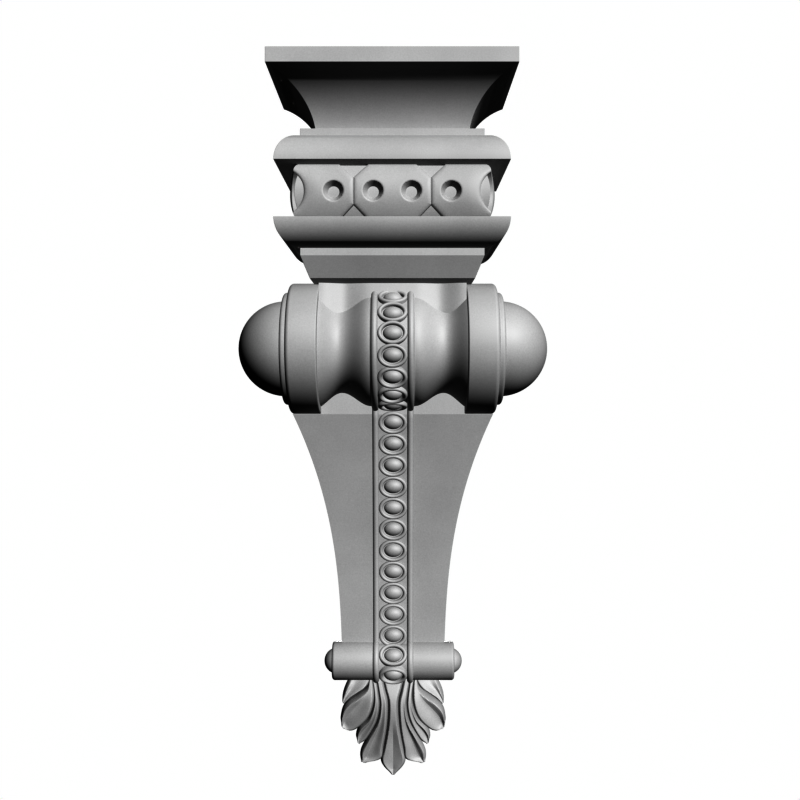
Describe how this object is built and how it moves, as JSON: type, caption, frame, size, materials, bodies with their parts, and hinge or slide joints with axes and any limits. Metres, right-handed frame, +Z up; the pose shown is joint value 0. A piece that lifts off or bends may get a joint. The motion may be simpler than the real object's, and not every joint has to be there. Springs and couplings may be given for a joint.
{
  "type": "carved bracket",
  "caption": "Console bracket cast in one piece: moulded square cap, large turned roll, tapering beaded shaft, small roller and a palmette leaf, with a flat back for the wall.",
  "frame": {"origin": "on the flat back, on the centre line, at the height of the large roll's axis, 210 mm below the top of the cap", "axes": "+X to the viewer's right, +Y into the wall, +Z up; the back lies in the plane Y = 0 and the front faces -Y"},
  "size_m": [0.2424, 0.1157, 0.558],
  "materials": {
    "cast_stone": "dense fine-grained grey cast stone, rubbed smooth, with a faint sheen"
  },
  "bodies": {
    "root": {"carved_bracket": "cast_stone"}
  },
  "joints": []
}
